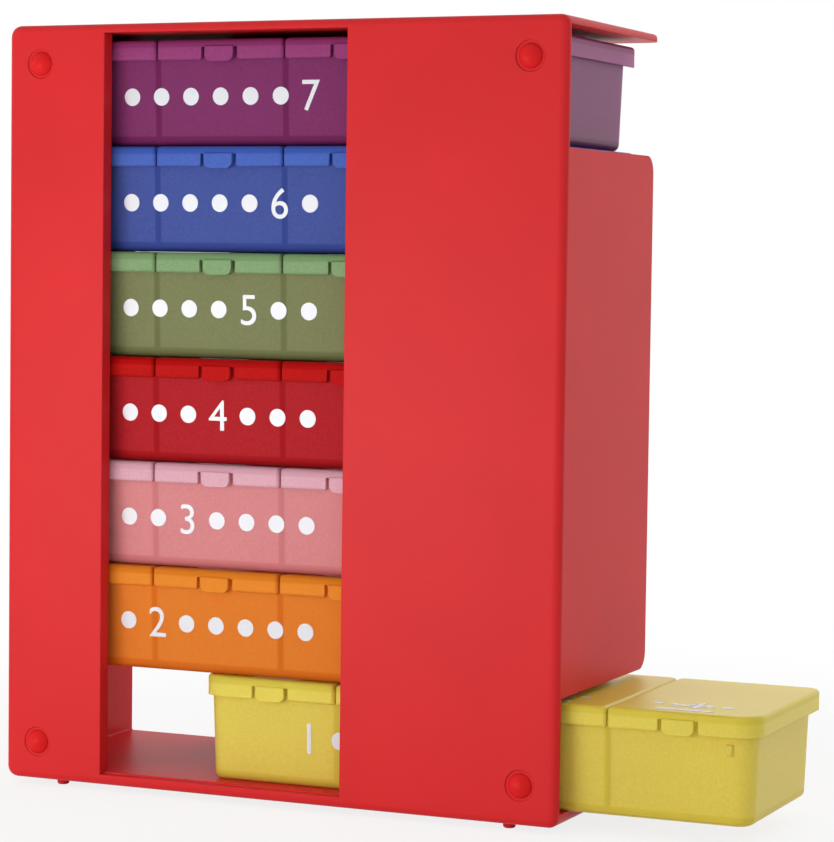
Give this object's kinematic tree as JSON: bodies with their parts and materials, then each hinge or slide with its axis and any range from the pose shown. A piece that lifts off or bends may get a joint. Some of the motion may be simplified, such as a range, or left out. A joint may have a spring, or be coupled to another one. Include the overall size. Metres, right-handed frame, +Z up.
{
  "type": "weekly pill drawer organizer",
  "caption": "Upright case with a window that stacks day boxes for pills; each box has hinged lids over its compartments, and the lowest and top boxes slide out to the right.",
  "frame": {"origin": "under the middle of the whole object's box as pictured, with the lowest box pulled out, on the surface that the feet stand on", "axes": "+X to the right along the boxes' travel, +Y to the back, +Z up"},
  "size_m": [0.1822, 0.0622, 0.177],
  "materials": {
    "case_red": "satin moulded",
    "pin_red": "satin moulded",
    "box_yellow": "translucent, fine matt moulded",
    "box_orange": "translucent, fine matt moulded",
    "box_pink": "translucent, fine matt moulded",
    "box_red": "translucent, fine matt moulded",
    "box_green": "translucent, fine matt moulded",
    "box_blue": "translucent, fine matt moulded",
    "box_purple": "translucent, fine matt moulded",
    "print_white": "pad-printed ink"
  },
  "bodies": {
    "case": {"front_plate": "case_red", "case_frame": "case_red", "dome_pins": "pin_red"},
    "box_1_lid_4_leaf": {"box_1_lid_4": "box_yellow"},
    "box_1": {"box_1_tray": "box_yellow", "box_1_lid_1": "box_yellow", "box_1_lid_2": "box_yellow", "box_1_lid_3": "box_yellow"},
    "box_2": {"box_2_tray": "box_orange", "box_2_lid_1": "box_orange", "box_2_lid_2": "box_orange", "box_2_lid_3": "box_orange", "box_2_lid_4": "box_orange"},
    "box_3": {"box_3_tray": "box_pink", "box_3_lid_1": "box_pink", "box_3_lid_2": "box_pink", "box_3_lid_3": "box_pink", "box_3_lid_4": "box_pink"},
    "box_4": {"box_4_tray": "box_red", "box_4_lid_1": "box_red", "box_4_lid_2": "box_red", "box_4_lid_3": "box_red", "box_4_lid_4": "box_red"},
    "box_5": {"box_5_tray": "box_green", "box_5_lid_1": "box_green", "box_5_lid_2": "box_green", "box_5_lid_3": "box_green", "box_5_lid_4": "box_green"},
    "box_6": {"box_6_tray": "box_blue", "box_6_lid_1": "box_blue", "box_6_lid_2": "box_blue", "box_6_lid_3": "box_blue", "box_6_lid_4": "box_blue"},
    "box_7": {"box_7_tray": "box_purple", "box_7_lid_1": "box_purple", "box_7_lid_2": "box_purple", "box_7_lid_3": "box_purple", "box_7_lid_4": "box_purple"}
  },
  "joints": [
    {"name": "box_1_slide", "type": "slide", "parent": "case", "child": "box_1", "axis": [1, 0, 0], "range_m": [-0.0468, 0.0853]},
    {"name": "box_2_slide", "type": "slide", "parent": "case", "child": "box_2", "axis": [1, 0, 0], "range_m": [-0.0002, 0.0009]},
    {"name": "box_3_slide", "type": "slide", "parent": "case", "child": "box_3", "axis": [1, 0, 0], "range_m": [-0.0002, 0.0009]},
    {"name": "box_4_slide", "type": "slide", "parent": "case", "child": "box_4", "axis": [1, 0, 0], "range_m": [-0.0002, 0.0009]},
    {"name": "box_5_slide", "type": "slide", "parent": "case", "child": "box_5", "axis": [1, 0, 0], "range_m": [-0.0002, 0.0009]},
    {"name": "box_6_slide", "type": "slide", "parent": "case", "child": "box_6", "axis": [1, 0, 0], "range_m": [-0.0002, 0.0009]},
    {"name": "box_7_slide", "type": "slide", "parent": "case", "child": "box_7", "axis": [1, 0, 0], "range_m": [-0.0002, 0.1321]},
    {"name": "box_1_lid_4_hinge", "type": "hinge", "parent": "box_1", "child": "box_1_lid_4_leaf", "pos_m": [0.07329, 0.02262, 0.02525], "axis": [-1, 0, 0], "range_deg": [0, 110]}
  ]
}
